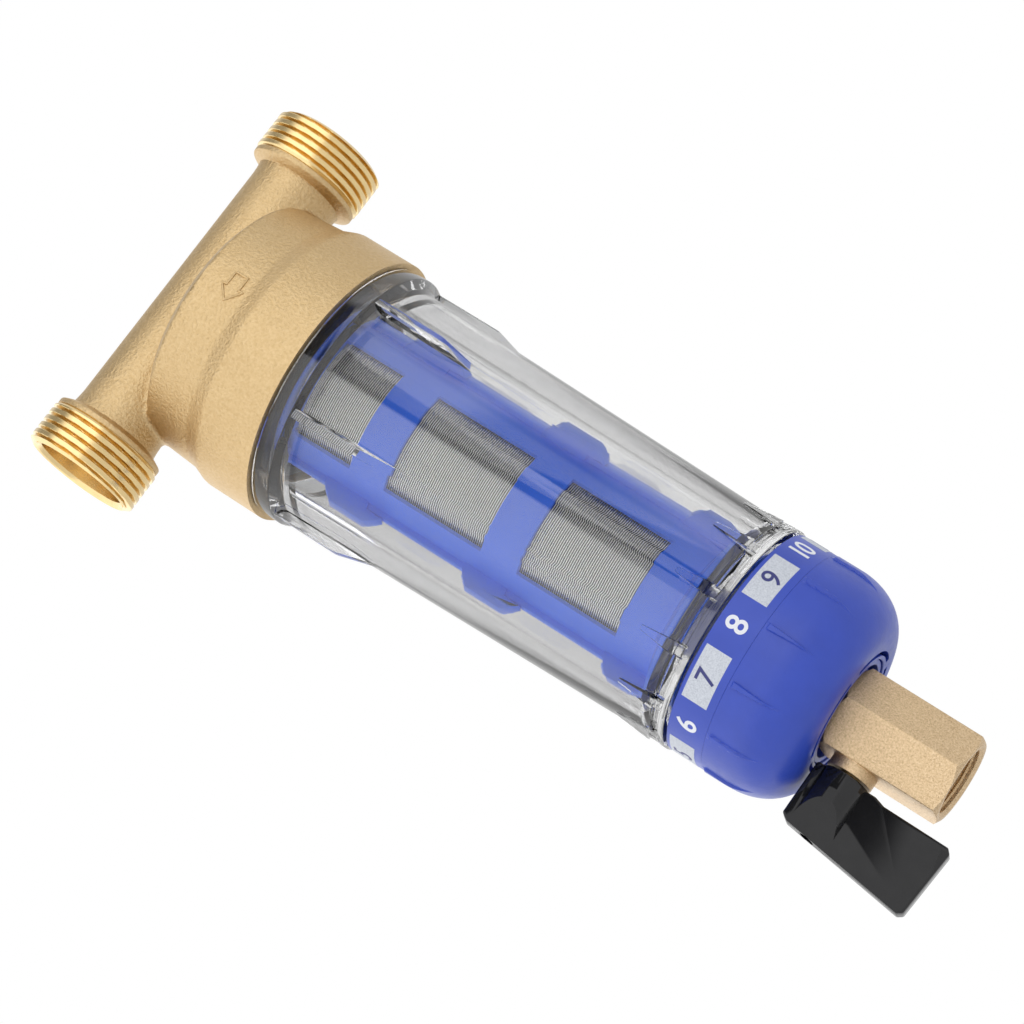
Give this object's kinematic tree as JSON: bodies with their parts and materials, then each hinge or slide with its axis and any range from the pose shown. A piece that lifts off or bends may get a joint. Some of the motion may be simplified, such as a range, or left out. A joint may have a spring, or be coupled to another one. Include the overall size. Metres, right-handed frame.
{
  "type": "inline water filter",
  "caption": "Brass T-shaped inline water filter with a clear hanging bowl, a steel screen inside, a rotary reminder dial and a drain valve with a lever.",
  "frame": {"origin": "where the axis of the pipe run meets the axis of the bowl", "axes": "+X along the pipe run from outlet to inlet, -Z down the hanging bowl, -Y towards the side that carries the flow arrow"},
  "size_m": [0.1142, 0.0782, 0.2646],
  "materials": {
    "cast_brass": "sand-cast, satin",
    "turned_brass": "turned",
    "forged_brass": "forged and blasted, machined ends",
    "clear_plastic": "clear, glossy",
    "blue_plastic": "moulded, satin",
    "dial_print": "blue ring with white fields and month numbers",
    "steel_mesh": "woven wire",
    "seal_rubber": "moulded",
    "white_plastic": "moulded",
    "black_plastic": "moulded, slightly glossy",
    "ball_chrome": "plated",
    "clip_steel": "bright"
  },
  "bodies": {
    "housing": {"head_casting": "cast_brass", "bowl": "clear_plastic", "bowl_oring": "seal_rubber", "cage_frame": "blue_plastic", "cage_top_seal": "seal_rubber", "screen_sleeve": "steel_mesh", "foot_bush": "white_plastic"},
    "rotor": {"spindle": "blue_plastic", "siphon_tube": "white_plastic", "siphon_top_pin": "white_plastic", "suction_nozzle_1": "white_plastic", "suction_nozzle_2": "white_plastic", "suction_nozzle_3": "white_plastic", "suction_nozzle_4": "white_plastic", "suction_nozzle_5": "white_plastic", "suction_nozzle_6": "white_plastic", "shaft_oring_1": "seal_rubber", "shaft_oring_2": "seal_rubber", "retaining_clip": "clip_steel", "thrust_washer": "white_plastic", "dial_ring": "dial_print", "knob": "blue_plastic", "cap_cover": "blue_plastic", "knob_lock_ring": "blue_plastic", "valve_body": "forged_brass", "ball_seat_upper": "white_plastic", "ball_seat_lower": "white_plastic", "seat_retainer": "turned_brass"},
    "handle": {"drain_ball": "ball_chrome", "valve_stem": "turned_brass", "stem_oring": "seal_rubber", "lever": "black_plastic", "lever_screw": "clip_steel"}
  },
  "joints": [
    {"name": "knob_turn", "type": "hinge", "parent": "housing", "child": "rotor", "pos_m": [0, 0, 0], "axis": [0, 0, 1], "continuous": true},
    {"name": "valve_lever", "type": "hinge", "parent": "rotor", "child": "handle", "pos_m": [0, 0, -0.2163], "axis": [1, 0, 0], "range_deg": [0, 90]}
  ]
}
